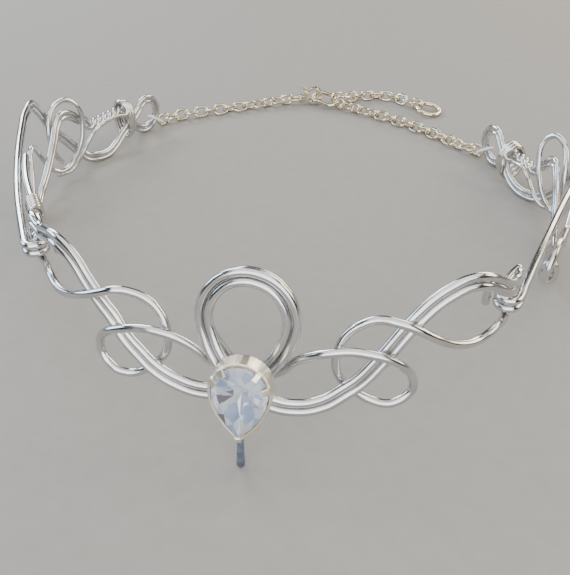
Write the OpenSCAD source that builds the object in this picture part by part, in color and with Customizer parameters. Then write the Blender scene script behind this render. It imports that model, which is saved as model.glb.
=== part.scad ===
// A wire circlet that is worn as a tiara. Bent round wire makes a front panel with a
// pear-shaped stone and two side panels, and a chain with a clasp closes it at the back.
// It rests on a table: the post under the stone and the lowest bends of the sides stand on it.

/* [Wire] */
// Diameter of the main wire
wire_d = 1.63; // [1.2:0.01:1.65]
// Diameter of the thinner wire that makes the bows and the knots at the rear rings
wrap_d = 1.3; // [0.8:0.05:1.3]
// Diameter of the thin wire that binds each side panel near its hook
bind_d = 0.8; // [0.6:0.05:0.8]
// Distance between the two wires of a pair, centre to centre
pair_gap = 1.76; // [1.74:0.01:1.8]

/* [Front panel] */
// Radius that the front panel is bent to
front_r = 88; // [80:1:100]
// Lean of the front panel, backwards from upright
front_lean = 14; // [8:0.5:20]
// Turn of the front panel against the side panels
front_yaw = 4.6; // [0:0.1:6]

/* [Stone] */
// Width of the stone
stone_w = 10; // [8:0.5:10]
// Length of the stone from its round end to its tip
stone_l = 14; // [12:0.5:14]
// Height of the stone from its point to its table
stone_depth = 4.3; // [4:0.1:4.4]
// Thickness of the setting's wall
setting_wall = 0.5; // [0.4:0.05:0.6]

/* [Chain] */
// Length of a link over its wire
link_l = 6.4; // [6.2:0.1:6.6]
// Width of a link over its wire
link_w = 4.6; // [4.4:0.1:4.7]
// Diameter of a link's wire
link_wire = 1; // [0.8:0.05:1]

/* [Clasp] */
// Thickness of the clasp's body
clasp_t = 2.8; // [2.6:0.1:3]
// Diameter of the lever's pin
pin_d = 0.9; // [0.7:0.05:1]

/* [Hidden] */

// The foot of the post, measured from the middle of the whole object's floor
post_foot = [-1.539, -96.504];
// Sides of the front wires, of the side wires and of the thin wire
front_sides = 8;
side_sides = 6;
wrap_sides = 5;
// Longest step between two rings of a wire, and its largest bend in degrees
front_step = 6;
side_step = 9;
step_bend = 26;
// Steps of a coil in one turn, and of a twisted pair in one turn
coil_steps = 10;
twist_steps = 8;

// Vectors and smooth paths

function unit(v) = v / norm(v);
function square_to(v, t) = unit(v - t * (v * t));
function angle_between(a, b) = acos(min(1, max(-1, unit(a) * unit(b))));

// Slope of a smooth path through the points p, at point i, per millimetre
function slope(p, i) =
    let (last = len(p) - 1)
    i == 0 ? unit(p[1] - p[0]) :
    i == last ? unit(p[last] - p[last - 1]) :
    let (before = norm(p[i] - p[i - 1]), after = norm(p[i + 1] - p[i]))
    ((p[i + 1] - p[i]) * before / after + (p[i] - p[i - 1]) * after / before) / (before + after);

function hermite(a, b, slope_a, slope_b, t) =
    a * (1 + 2 * t) * pow(1 - t, 2) + slope_a * t * pow(1 - t, 2)
    + b * t * t * (3 - 2 * t) + slope_b * t * t * (t - 1);

// A smooth path through the points, with more steps where it bends
function smooth(p, step) = [
    for (i = [0:len(p) - 2])
        let (
            length = norm(p[i + 1] - p[i]),
            a = slope(p, i) * length,
            b = slope(p, i + 1) * length,
            count = max(1, ceil(length / step), ceil(angle_between(a, b) / step_bend))
        )
        for (k = [0:count - 1]) hermite(p[i], p[i + 1], a, b, k / count),
    p[len(p) - 1]
];

// Directions along a path
function directions(p) =
    let (last = len(p) - 1)
    [for (i = [0:last]) unit(p[min(i + 1, last)] - p[max(i - 1, 0)])];

// A sideways direction carried along a path without twist
function carried(dirs, first) = [
    for (i = 0, n = square_to(first, dirs[0]);
         i < len(dirs);
         i = i + 1, n = i < len(dirs) ? square_to(n, dirs[i]) : n) n
];

// One wire of a pair: the same path on a panel, moved sideways in the panel
function beside(p, shift) =
    let (dirs = directions(p))
    [for (i = [0:len(p) - 1]) p[i] + unit([-dirs[i].y, dirs[i].x, 0]) * shift];

// Rows of a straight stretch between two rows
function stretch(a, b, count) = [for (k = [0:count]) a + (b - a) * k / count];

// A coil of wire from the row a to the row b of a panel, with a height and a depth at each
// end. Its turns run backwards where turns is less than nothing.
function coil(a, b, high_a, high_b, deep, turns, start) =
    let (count = ceil(abs(turns) * coil_steps))
    [for (k = [0:count])
        let (part = k / count, angle = start + 360 * turns * part)
        a + (b - a) * part
        + [0, (high_a + (high_b - high_a) * part) * sin(angle), deep * cos(angle)]];

// A round stretch of a flat path: rows on a circle round the point [s, h, out]
function arc_rows(centre, radius, from, to, out_to, count = 6) = [
    for (k = [0:count])
        let (angle = from + (to - from) * k / count)
        [
            centre.x + radius * cos(angle),
            centre.y + radius * sin(angle),
            centre.z + (out_to - centre.z) * k / count
        ]
];

function backwards(p) = [for (i = [len(p) - 1:-1:0]) p[i]];

// Solid wires

function wire_rings(p, radius, sides) =
    let (dirs = directions(p), n = carried(dirs, [0.31, 0.22, 0.93]))
    [for (i = [0:len(p) - 1]) let (b = cross(dirs[i], n[i]))
        for (k = [0:sides - 1])
            p[i] + radius * (n[i] * cos(360 * k / sides) + b * sin(360 * k / sides))];

function wall_faces(rings, sides, base, turns_back) = [
    for (i = [0:turns_back ? rings - 1 : rings - 2])
        for (k = [0:sides - 1])
            let (
                a = base + i * sides + k,
                b = base + i * sides + (k + 1) % sides,
                c = base + ((i + 1) % rings) * sides + k,
                d = base + ((i + 1) % rings) * sides + (k + 1) % sides
            )
            each [[a, d, b], [a, c, d]]
];

function cap_faces(rings, sides) =
    let (last = (rings - 1) * sides)
    [for (k = [1:sides - 2]) each [[0, k, k + 1], [last, last + k + 1, last + k]]];

module wire(p, diameter, sides) {
    polyhedron(
        points = wire_rings(p, diameter / 2, sides),
        faces = concat(wall_faces(len(p), sides, 0, false), cap_faces(len(p), sides))
    );
}

// Places: from [along, height, outwards] on a panel to the object's own frame

front_middle = [1.1, -2.6];
front_along = [cos(front_yaw), -sin(front_yaw), 0];
front_ahead = [sin(front_yaw), cos(front_yaw), 0];
front_up = [0, 0, cos(front_lean)] + front_ahead * sin(front_lean);
front_back = front_ahead * cos(front_lean) - [0, 0, sin(front_lean)];
front_origin = [front_middle.x * cos(front_yaw) + front_middle.y * sin(front_yaw),
                front_middle.y * cos(front_yaw) - front_middle.x * sin(front_yaw), 0];

// The front panel lies on a leaning cylinder
function on_front(q) =
    let (angle = q.x / front_r * 180 / PI, reach = front_r + q.z)
    front_origin + front_back * (front_r - reach * cos(angle))
    + front_along * (reach * sin(angle)) + front_up * q.y;

// The same place of the object, read back on the front panel
function read_front(p) =
    let (
        from_axis = p - front_origin - front_back * front_r,
        across = from_axis * front_along,
        ahead = -(from_axis * front_back)
    )
    [front_r * atan2(across, ahead) * PI / 180, (p - front_origin) * front_up,
     norm([across, ahead]) - front_r];

// The plan of a side panel: arcs of [length, turn] from the hook to the back
SIDE_PLAN = [[50, -6], [20, -6], [18, -17], [15, -17], [35, -11.5]];
side_heading = 28.5;
left_start = [-45.2, 24.9];
right_start = [48.3, 18.3];

// Point and heading at a length along the plan
function plan_walk(s, arc, at, heading) =
    let (
        length = SIDE_PLAN[arc][0],
        last = arc == len(SIDE_PLAN) - 1,
        run = last ? s : min(s, length),
        turn = SIDE_PLAN[arc][1] * run / length,
        half = turn / 2,
        chord = abs(half) < 0.001 ? run : run * sin(half) / (half * PI / 180),
        to = at + chord * [sin(heading + half), cos(heading + half)]
    )
    last || s <= length ? [to.x, to.y, heading + turn] :
    plan_walk(s - run, arc + 1, to, heading + turn);

// Distance between the wires of a twisted pair
twist_gap = 1.9;

// A side panel stands upright on its plan, with the hand -1 on the left and 1 on the right
function on_side(q, hand) =
    let (
        at = plan_walk(q.x, 0, [0, 0], side_heading),
        start = hand < 0 ? left_start : right_start
    )
    [start.x + hand * (at.x + q.z * cos(at[2])), start.y + at.y - q.z * sin(at[2]), q.y];

module placed() {
    translate([post_foot.x, post_foot.y, 0]) children();
}

// Front wires

// Rows of [along, height, outwards] through the middle of the pair of wires
FRONT_PAIR_LEFT = [
    [-47.6, 40.2, -1.8], [-44.2, 40.6, -1], [-39.6, 40.6, 0], [-35, 38.1, 0], [-31.8, 34.5, 0],
    [-28.7, 31.2, 0], [-25.7, 28.3, 0], [-23.4, 25.3, 0], [-20.4, 22.7, 0], [-17.5, 20.5, 0],
    [-13.3, 18.5, -0.3], [-8.4, 17.5, -0.7], [-3.8, 18.2, -0.95], [0.8, 20.6, -0.95],
    [4.4, 24.6, -0.6]
];
FRONT_PAIR_TOP = [
    [6.9, 29.4, 0], [7.7, 33, 0], [6.6, 36.9, 0], [3.9, 39.8, 0], [0, 40.9, 0],
    [-3.9, 39.8, 0], [-6.6, 36.9, 0], [-7.7, 33, 0], [-6.9, 29.4, 0]
];
FRONT_PAIR_RIGHT = [
    [-4.4, 24.6, 0.6], [-0.8, 20.6, 0.95], [3.8, 18.2, 0.95], [8.6, 17.2, 0.7],
    [13.4, 18, 0.3], [17.5, 20.6, 0], [20.1, 22.8, 0], [22.5, 25.8, 0], [24.6, 28.7, 0],
    [27.6, 33, 0], [29.5, 35.3, 0], [31.8, 37.6, 0], [34.4, 39.4, 0], [37.1, 40.6, 0],
    [40, 40.9, 0], [43.4, 39.8, -0.8], [46.5, 38.4, -1.8]
];
// The third wire: a loop on each side of the stone, and the back of the top loop
FRONT_WEAVE_LEFT = [
    [-44.1, 32.3, -1], [-39.7, 31.2, 0.4], [-35.6, 31.4, 1.3], [-31.4, 32.6, 1.95],
    [-27.6, 33.9, 1.95], [-24, 35, 1.3], [-21.7, 34.7, 0.2], [-18.6, 33.5, -0.6],
    [-16.5, 31.3, -1], [-15.4, 28.9, -1], [-15.1, 26.2, -1], [-15.8, 23.6, -1.4],
    [-17.8, 21, -1.95], [-20.8, 18.4, -1.95], [-23.4, 17.3, -1.1], [-25.6, 17.8, 0],
    [-27.8, 19.1, 0.2], [-29.2, 21.4, 0.4], [-28.6, 24.2, 1], [-26.3, 26.5, 1.85],
    [-22.8, 28, 1.95], [-19.2, 28.7, 1.5], [-15.4, 28.6, 1], [-12.4, 27.4, 0],
    [-9.4, 25.2, -1.2], [-6.6, 22.2, -2.4], [-3.4, 20.4, -2.85], [0, 20.4, -2.85],
    [3.2, 22.4, -2.6]
];
FRONT_WEAVE_TOP = [
    [6, 27.2, -1.9], [7.8, 30.8, -1.8], [8.2, 34, -1.8], [7.1, 37.3, -1.8],
    [4.3, 40.1, -1.8], [0, 41.3, -1.8], [-4.3, 40.1, -1.8], [-7.1, 37.3, -1.8],
    [-8.2, 34, -1.8], [-7.8, 30.8, -1.9], [-6, 27.2, -2.6], [-3.4, 22.8, -4.1],
    [0, 20.2, -4.75], [3.4, 20.2, -4.5]
];
FRONT_WEAVE_RIGHT = [
    [6.4, 22.4, -3.1], [8.3, 25, -1.7], [11, 27, -0.4], [14, 28.3, 0.7], [17.6, 28.9, 1],
    [21.2, 28.8, 1.8], [24.6, 27.8, 1.95], [27.4, 25.8, 1.5], [29.1, 23.3, 0.7],
    [29.4, 20.9, 0.2], [28, 19.1, 0], [25.4, 18, -0.1], [22.7, 18, -1.3], [20, 19.2, -1.95],
    [17.3, 21.4, -1.95], [15.9, 24, -1.4], [15.5, 26.6, -1], [16, 29, -1],
    [17.2, 31.3, -1], [19.4, 33.3, -0.6], [22.2, 34.6, 0.2], [25, 34.6, 1.5],
    [28.2, 33.6, 2.1], [31.2, 32, 2], [34.4, 30.4, 1.3], [37.8, 29.4, 0.4],
    [41.1, 29.2, -0.7]
];

// Middle of the eye that ends each side panel, as [along, height, outwards] on the panel
left_eye = [1.8, 30.2, -1.25];
right_eye = [3.6, 27, -1.6];
eye_r = 1.9;

// Rows of [along, height, outwards] from an eye's middle. The wires of the pair end with a
// hook over the eye's rim, and the third wire comes up through the eye and doubles back.
LEFT_HOOK_LOWER = [
    [1.65, -2.6, 0], [1.65, 1.2, 0], [1.5, 3.2, 0], [0.5, 4.6, -0.4], [-1.5, 4.6, -1.1]
];
LEFT_HOOK_UPPER = [
    [3.4, -2.4, 0], [3.4, 1.8, 0], [3.05, 4.4, -0.2], [1.6, 6.3, -0.6], [-1.5, 6.6, -1.1]
];
LEFT_HOOK_WEAVE = [
    [-0.3, -2.6, -3.9], [-0.2, -0.4, -3.9], [-0.1, 1.8, -3.4], [-0.1, 2.9, -1.95],
    [-0.1, 2.2, -0.5], [-0.1, 0.6, -0.05],
    [-0.1, -1.2, -0.1], [-0.6, -2.4, -0.5], [-1.9, -2.85, -0.9], [-4, -2.4, -1.15]
];
RIGHT_HOOK_LOWER = [
    [1.65, -2.6, 0], [1.65, 1.2, 0], [1.45, 3, 0.1], [0.2, 4, 0.4], [-1.8, 3.9, 0.9]
];
RIGHT_HOOK_UPPER = [
    [3.4, -2.4, 0], [3.4, 1.8, 0], [3, 4.1, 0.2], [1.3, 5.8, 0.5], [-1.8, 5.9, 0.9]
];
RIGHT_HOOK_WEAVE = [
    [-0.3, -2.6, -3.9], [-0.2, -0.4, -3.9], [-0.1, 1.8, -3.5], [-0.1, 2.9, -1.95],
    [-0.1, 2.2, -0.4], [-0.1, 0.6, 0],
    [-0.1, -1.2, 0], [-0.5, -2.4, 0.2], [-1.8, -2.9, 0.45], [-3.4, -2.5, 0.6],
    [-6, -1.5, 0.6], [-9.4, -1, 0.4]
];

function hook(rows, eye, hand) = [for (row = rows) read_front(on_side(eye + row, hand))];

function front_pair(side) =
    let (
        middle = smooth(concat(FRONT_PAIR_LEFT, FRONT_PAIR_TOP, FRONT_PAIR_RIGHT), front_step),
        rows = concat(
            hook(side < 0 ? LEFT_HOOK_LOWER : LEFT_HOOK_UPPER, left_eye, -1),
            beside(middle, side * pair_gap / 2),
            backwards(hook(side < 0 ? RIGHT_HOOK_LOWER : RIGHT_HOOK_UPPER, right_eye, 1))
        )
    )
    [for (q = smooth(rows, front_step)) on_front(q)];

function front_weave() =
    let (rows = concat(
        hook(LEFT_HOOK_WEAVE, left_eye, -1),
        FRONT_WEAVE_LEFT, FRONT_WEAVE_TOP, FRONT_WEAVE_RIGHT,
        backwards(hook(RIGHT_HOOK_WEAVE, right_eye, 1))
    ))
    [for (q = smooth(rows, front_step)) on_front(q)];

module front_wire_upper() {
    color("silver") placed() wire(front_pair(1), wire_d, front_sides);
}

module front_wire_lower() {
    color("silver") placed() wire(front_pair(-1), wire_d, front_sides);
}

module front_wire_weave() {
    color("silver") placed() wire(front_weave(), wire_d, front_sides);
}

// Side panels

// Rows of [along, height, outwards] through the middle of the pair that makes a side panel:
// from its cut ends round the eye, along the top, down to the table, round the rear ring,
// back through the twisted stem, over the peak and down to the front
LEFT_FRAME_FRONT = [
    [47, 29.2, -0.9], [40, 29.3, -0.9], [33, 29.4, -1.1], [26, 29.5, -1.6], [18, 29.8, -2.3],
    [10, 30, -2.9], [5, 30.2, -3.1]
];
LEFT_FRAME_TOP = [
    [4.5, 30.2, 0.7], [12, 30, 0.8], [24, 29.6, 1], [40, 29.4, 1], [55.5, 29.2, 1],
    [69, 28.9, 1.5], [80, 28.9, 2.6], [86, 28.5, 3.3], [89.4, 25.6, 3.6], [93, 19.9, 3.6],
    [96.8, 14.4, 3.6], [99.9, 10.8, 3.4], [102.1, 7.6, 2.7], [103.9, 4.9, 1.6],
    [106, 2.6, 0.2], [109.4, 1.8, -1.6], [113, 1.8, -2.6], [117.4, 3, -2.6], [122.4, 5.4, -2.2],
    [127.6, 7.9, -1.9]
];
LEFT_FRAME_RETURN = [[130.2, 7.2, 1.5], [128.8, 10.4, 1.3], [126.6, 12.4, 0.7]];
left_stem = [[124.8, 13, 0.2], [108.6, 13.3, -0.1]];
left_twist = 3;
LEFT_FRAME_BACK = [
    [107, 15.2, -0.2], [103.4, 17.5, -0.2], [101, 19.4, -0.2], [98, 20.9, -0.1], [95, 21.3, -0.1],
    [91.9, 19.9, -0.1], [88.4, 16.4, -0.1], [84.4, 12.2, 0.4], [80, 8.4, 1.2],
    [75.2, 5.4, 2.2], [69.6, 3.3, 2.8], [63.5, 1.9, 2.8], [58, 1.85, 2.6], [54, 3.4, 2.4],
    [49, 7, 2.2], [43, 12, 1.9], [37, 17, 1.6], [31.5, 21.4, 1.4], [25, 24.6, 1.1],
    [17, 25.7, 1], [9, 26.2, 0.9]
];
left_ring = [137.6, 7.42, -1.4];
right_ring = [125.8, 7.42, -1.4];
ring_r = 5.7;

RIGHT_FRAME_FRONT = [[12, 28.5, -2.3], [9, 27.8, -3.1], [6, 27.1, -3.5]];
RIGHT_FRAME_TOP = [
    [7.5, 27.6, 0.1], [14.6, 28.6, -0.2], [24, 29.3, -0.3], [35.3, 29.6, -0.3],
    [47.5, 29.5, 0.1], [58, 29.1, 0.6], [66, 28.9, 1.2], [72, 29.1, 2.1], [76.6, 28.9, 3],
    [80.2, 26.8, 3.6], [83.4, 21.6, 3.7], [86.8, 15.8, 3.6], [89.8, 11.6, 3.5],
    [92.5, 8, 3.1], [94.6, 5.2, 2.4], [96.6, 3, 1], [99.4, 1.85, -0.9], [103, 1.8, -2.6],
    [107, 2.4, -3.3], [111, 4, -3.4], [114, 5.9, -2.9], [117, 8.1, -2.2]
];
RIGHT_FRAME_RETURN = [[118.6, 5.8, 1.5], [117.2, 8.2, 1.3], [115, 9.4, 0.7]];
right_stem = [[113.2, 9.4, 0.2], [102.4, 9.5, -0.2]];
right_twist = 2;
RIGHT_FRAME_BACK = [
    [99.6, 11.8, -0.6], [96, 14.8, -0.8], [93, 17, -0.8],
    [89.9, 17.4, -0.7], [86.9, 14.9, -0.5], [83.2, 10, -0.1], [78.6, 5.6, 0],
    [72.2, 2.9, 0.3], [64.5, 1.85, 0.9], [57, 1.8, 1.8], [52, 3.8, 1.8], [46.9, 7.8, 1.5],
    [41.4, 11, 0.9], [36, 14.4, 0.5], [30, 18.6, 0.7], [25.4, 21.4, 1.2], [22.6, 22.3, 1.6],
    [21.6, 24.5, 1.8], [23.4, 26.7, 2], [27.7, 27, 2.1], [32.9, 27.8, 2.2]
];

// The eye is a half turn that lies level, from the inner leg to the outer leg
function eye_rows(eye) = [
    for (angle = [-90:30:90])
        [eye.x - eye_r * cos(angle), eye.y, eye.z + eye_r * sin(angle)]
];

// The rear ring is more than a full turn, so that the pair crosses itself before it
function ring_rows(ring) = arc_rows(ring, ring_r, 140, -140, 1.3, 12);

function stem_rows(stem, twist) = stretch(stem[0], stem[1], twist * twist_steps);

function frame_middle(hand) = smooth(
    hand < 0 ?
    concat(LEFT_FRAME_FRONT, eye_rows(left_eye), LEFT_FRAME_TOP, ring_rows(left_ring),
           LEFT_FRAME_RETURN, stem_rows(left_stem, left_twist), LEFT_FRAME_BACK) :
    concat(RIGHT_FRAME_FRONT, eye_rows(right_eye), RIGHT_FRAME_TOP, ring_rows(right_ring),
           RIGHT_FRAME_RETURN, stem_rows(right_stem, right_twist), RIGHT_FRAME_BACK),
    side_step
);

// How far along the twisted stem a row is, from 0 to 1, or 0 for a row that isn't on it
function stem_part(q, stem) =
    let (part = (stem[0].x - q.x) / (stem[0].x - stem[1].x))
    part > 0 && part < 1 && abs(q.y - stem[0].y - (stem[1].y - stem[0].y) * part) < 0.5 ? part : 0;

// One wire of a side panel's pair. It lies beside the other one in the panel. On the level
// legs at the top, and round the eye, one lies above the other, and on the stem they twist.
function side_wire(hand, side) =
    let (
        p = frame_middle(hand),
        dirs = directions(p),
        stem = hand < 0 ? left_stem : right_stem,
        twist = hand < 0 ? left_twist : right_twist
    )
    [for (i = [0:len(p) - 1])
        let (
            d = dirs[i],
            n = p[i].x < 48 && p[i].y > 26.7 ? square_to([0, 1, 0], d) : unit([-d.y, d.x, 0]),
            part = stem_part(p[i], stem),
            angle = 360 * twist * part,
            reach = side * (part > 0 ? twist_gap : pair_gap) / 2
        )
        p[i] + reach * (n * cos(angle) + cross(d, n) * sin(angle))];

module side_frame(hand, side) {
    color("silver") placed()
        wire([for (q = side_wire(hand, side)) on_side(q, hand)], wire_d, side_sides);
}

module left_frame_outer() side_frame(-1, 1);
module left_frame_inner() side_frame(-1, -1);
module right_frame_outer() side_frame(1, 1);
module right_frame_inner() side_frame(1, -1);

// The single wire: an open oval whose tail makes a small hook in front of it
LEFT_FLOURISH = [
    [94.4, 5.6, 2.1], [91.8, 8.6, 2], [90.4, 11.6, 1.9], [89.2, 16.2, 1.8], [90.3, 20.4, 1.7],
    [93, 23.7, 1.6], [97.2, 25.2, 1.2], [100.8, 24.9, 0.5], [103, 22.6, -0.9],
    [103.8, 19.4, -1.9], [103, 15.2, -2.1], [100.9, 10.8, -2.1], [97, 7.2, -1.8],
    [93.2, 5.1, -1], [89.4, 4.9, 0.4], [87.4, 6.4, 2.1], [86, 9.3, 3], [83, 13.8, 3.2],
    [81.2, 16.6, 3.2], [78.7, 18.1, 3.2], [76, 17.3, 3.2], [73.4, 14.2, 3.1],
    [68.4, 11, 2.8], [62, 8.6, 2.4]
];
RIGHT_FLOURISH = [
    [86.3, 8, 2.3], [85.8, 11.6, 2], [86.6, 15.2, 1.6], [88, 18.4, 1.6], [90.4, 21.2, 1.6],
    [93.9, 23, 1.4], [97, 23.4, 0.4], [98.6, 21.6, -1.3], [98.2, 18.6, -2.5],
    [96.2, 15, -2.9], [93.2, 11.2, -2.9], [90, 7.4, -2], [87.2, 4.9, -0.5],
    [84.2, 4.4, 1.4], [81, 6.4, 2.2], [77.8, 9.8, 2.2], [74.6, 13.2, 2.1], [71, 16.4, 2],
    [67.6, 17.9, 2], [64.2, 17.3, 2], [59, 14.8, 1.9], [53, 12, 1.8]
];

module left_flourish() {
    color("silver") placed()
        wire([for (q = smooth(LEFT_FLOURISH, side_step)) on_side(q, -1)], wire_d, side_sides);
}

module right_flourish() {
    color("silver") placed()
        wire([for (q = smooth(RIGHT_FLOURISH, side_step)) on_side(q, 1)], wire_d, side_sides);
}

// The thinner wire: a hanging bow, a run behind the twisted stem, and a knot of a few turns
// that holds the stem and the ring's other wires together
LEFT_BOW = [
    [89.5, 3.2, 2], [92, 2.6, 1.3], [95, 2.3, 0.4], [99, 3.8, -0.4], [102.6, 6.8, -1.2],
    [105.2, 10, -2.3], [108.4, 12.4, -3], [114, 13.1, -2.9], [120.5, 13.1, -2.9]
];
RIGHT_BOW = [
    [89.2, 3, 0.8], [91.8, 2.6, -0.4], [95.2, 3.6, -1.6], [98, 5.4, -2.2], [101, 8.2, -2.9],
    [105.4, 9.4, -3], [109.6, 9.4, -3.2]
];
// Turns of each knot, and the direction in degrees where its first turn starts
knot_turns = -2.6;
knot_start = 150;
left_knot = coil([124.7, 9.6, -0.6], [128.3, 9.45, -0.5], 6.9, 5.7, 3.75, knot_turns, knot_start);
right_knot = coil([112.7, 7.1, -1.4], [116.4, 8.05, -1.2], 5.9, 5, 4.1, knot_turns, knot_start);

module left_wrap() {
    color("gainsboro") placed() wire(
        [for (q = concat(smooth(LEFT_BOW, side_step), left_knot)) on_side(q, -1)],
        wrap_d, wrap_sides
    );
}

module right_wrap() {
    color("gainsboro") placed() wire(
        [for (q = concat(smooth(RIGHT_BOW, side_step), right_knot)) on_side(q, 1)],
        wrap_d, wrap_sides
    );
}

// Bindings near the hooks: on the left round the leg that ends behind the other one, and
// on the right round the front foot of the pair
bind_turns = 4.5;
bind_start = 30;
bind_high = pair_gap / 2 + wire_d / 2 + bind_d / 2 + 0.4;
bind_deep = wire_d / 2 + bind_d / 2 + 0.22;
// The right one is wound more loosely
loose_high = bind_high + 0.35;
loose_deep = bind_deep + 0.2;

module left_binding() {
    turns = coil([14.2, 29.95, -2.58], [20.4, 29.72, -2.13], bind_high, bind_high, bind_deep,
                 bind_turns, bind_start);
    color("gainsboro") placed() wire([for (q = turns) on_side(q, -1)], bind_d, wrap_sides);
}

module right_binding() {
    turns = coil([43.9, 9.7, 1.25], [38.4, 12.9, 0.7], loose_high, loose_high, loose_deep,
                 bind_turns, bind_start);
    color("gainsboro") placed() wire([for (q = turns) on_side(q, 1)], bind_d, wrap_sides);
}

// Stone and setting

// The outline of a pear: a half circle and two flanks, each half a parabola, that meet in the tip
function pear(width, length, round_steps, flank_steps) =
    let (r = width / 2, middle = length / 2 - r, reach = length - r)
    concat(
        [for (k = [0:round_steps]) [r * cos(180 * k / round_steps),
                                    middle + r * sin(180 * k / round_steps)]],
        [for (k = [1:flank_steps - 1]) let (f = k / flank_steps)
            [-r * (1 - f * f), middle - reach * f]],
        [[0, -length / 2]],
        [for (k = [flank_steps - 1:-1:1]) let (f = k / flank_steps)
            [r * (1 - f * f), middle - reach * f]]
    );

stone_place = [0.1, 19.8, 5.2];
crown_h = 1;
table_part = 0.58;

// The stone's own frame: x along the panel, y up the panel, z outwards
module on_stone() {
    at = on_front(stone_place);
    multmatrix([
        [front_along.x, front_up.x, -front_back.x, at.x],
        [front_along.y, front_up.y, -front_back.y, at.y],
        [front_along.z, front_up.z, -front_back.z, at.z]
    ]) children();
}

module stone() {
    outline = pear(stone_w, stone_l, 8, 4);
    waist = [0, 1.2];
    points = concat(
        [for (p = outline) [p.x, p.y, 0]],
        [for (j = [0:7])
            let (p = waist + (outline[2 * j] - waist) * table_part) [p.x, p.y, crown_h]],
        [[waist.x, waist.y, crown_h - stone_depth]]
    );
    crown = [for (j = [0:7])
        let (a = 2 * j, b = 2 * j + 1, c = (2 * j + 2) % 16, s = 16 + j, e = 16 + (j + 1) % 8)
        each [[s, b, a], [s, e, b], [e, c, b]]];
    pavilion = [for (j = [0:15]) [24, j, (j + 1) % 16]];
    color("aliceblue") placed() on_stone() polyhedron(
        points = points,
        faces = concat(crown, pavilion, [[for (j = [7:-1:0]) 16 + j]])
    );
}

// Directions of the claws round the stone's round end
CLAWS = [17, 52, 128, 157];
// A claw's outline: outwards from the stone's edge, and outwards from the panel
CLAW_OUTLINE = [[0.1, -3.2], [0.6, -3.2], [0.6, 0.5], [-0.7, 1.35], [-0.95, 0.85], [0.1, 0.2]];
claw_w = 1.1;
// The post and its rounded foot, which is filed flat underneath
post_r = 0.55;
foot_r = 0.85;
post_top = [0.6, -0.95, 14.6];

module claw() {
    rotate([90, 0, 0]) linear_extrude(height = claw_w, center = true) polygon(CLAW_OUTLINE);
}

module setting() {
    gap = 0.12;
    color("silver") placed() union() {
        on_stone() {
            translate([0, 0, -3.35]) linear_extrude(height = 3.5) difference() {
                polygon(pear(stone_w + 2 * (gap + setting_wall),
                             stone_l + 2.5 * (gap + setting_wall), 16, 8));
                polygon(pear(stone_w + 2 * gap, stone_l + 2.5 * gap, 16, 8));
            }
            for (angle = CLAWS)
                translate([0, (stone_l - stone_w) / 2, 0]) rotate([0, 0, angle])
                    translate([stone_w / 2, 0, 0]) claw();
            translate([0, -stone_l / 2, 0]) rotate([0, 0, -90]) claw();
            for (side = [-1, 1])
                translate([side * 2.5, -5.6, -2]) sphere(r = 0.75, $fn = 32);
        }
        translate([0, 0, foot_r]) sphere(r = foot_r, $fn = 32);
        cylinder(r = 0.5, h = 0.5, $fn = 32);
        translate([0, 0, foot_r])
            rotate([atan2(-post_top.y, post_top.z), atan2(post_top.x, post_top.z), 0])
                cylinder(r1 = foot_r, r2 = post_r, h = norm(post_top) - foot_r, $fn = 32);
    }
}

// Chains

link_sides = 5;
// Rings of points round a link
link_rows = 10;
left_links = 15;
right_links = 17;
tail_links = 11;

function path_length(p) =
    len(p) < 2 ? 0 : norm(p[1] - p[0]) + path_length([for (i = [1:len(p) - 1]) p[i]]);

// The point at a length along a path, or straight on after its end
function along_path(p, s, i = 0) =
    let (step = norm(p[i + 1] - p[i]))
    s <= step || i == len(p) - 2 ? p[i] + (p[i + 1] - p[i]) * s / step :
    along_path(p, s - step, i + 1);

// The wire of one closed link, whose length lies along u and whose width lies along v
function link_rings(centre, u, v, length, width, wire = link_wire, sides = link_sides) =
    let (
        turn = (width - wire) / 2,
        reach = (length - width) / 2,
        w = cross(v, u)
    )
    [for (end = [1, -1]) for (k = [-2:2])
        let (
            angle = 90 - 90 * end + 45 * k,
            e = u * cos(angle) + v * sin(angle),
            at = centre + u * reach * end + e * turn
        )
        for (j = [0:sides - 1])
            at + wire / 2 * (e * cos(360 * j / sides) + w * sin(360 * j / sides))];

function raised(p, lift) = [p.x, p.y, max(p.z, lift)];

// Links along a path. They lie on edge at its start, each a quarter turn from the last one,
// and turn little by little, so that the last one is turned by the angle last as well.
function chain_rings(path, reach, count, last) =
    let (pitch = (path_length(path) + reach) / count)
    [for (i = [0:count - 1])
        let (
            f = i / (count - 1),
            turn = f * last + (45 - last / 2) * sin(180 * f),
            lift = 0.03 + link_wire / 2
                   + (link_w - link_wire) / 2 * max(abs(cos(turn)), abs(sin(turn))),
            from = raised(along_path(path, i * pitch), lift),
            to = raised(along_path(path, (i + 1) * pitch), lift),
            u = unit(to - from),
            side = unit(cross([0, 0, 1], u)),
            up = cross(u, side),
            roll = 90 + 90 * i - turn
        )
        link_rings((from + to) / 2, u, side * cos(roll) + up * sin(roll), link_l, link_w)];

module links(list, sides = link_sides) {
    polyhedron(
        points = [for (rings = list) each rings],
        faces = [for (i = [0:len(list) - 1]) each wall_faces(link_rows, sides, i * link_rows * sides, true)]
    );
}

// The first link goes round the pair of a rear ring, at the ring's lower rear
ring_exit = -35.5;
ring_link_l = 7.3;
ring_out = [cos(ring_exit), sin(ring_exit), 0];

function ring_link(ring, hand) =
    let (
        inner = on_side([ring.x, ring.y, 0.3] + 3.3 * ring_out, hand),
        outer = on_side([ring.x, ring.y, 0.3] + 9.5 * ring_out, hand),
        across = on_side([ring.x, ring.y, 1.3] + 6.4 * ring_out, hand)
                 - on_side([ring.x, ring.y, 0.3] + 6.4 * ring_out, hand),
        u = unit(outer - inner)
    )
    link_rings((inner + outer) / 2, u, square_to(across, u), ring_link_l, link_w);

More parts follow.
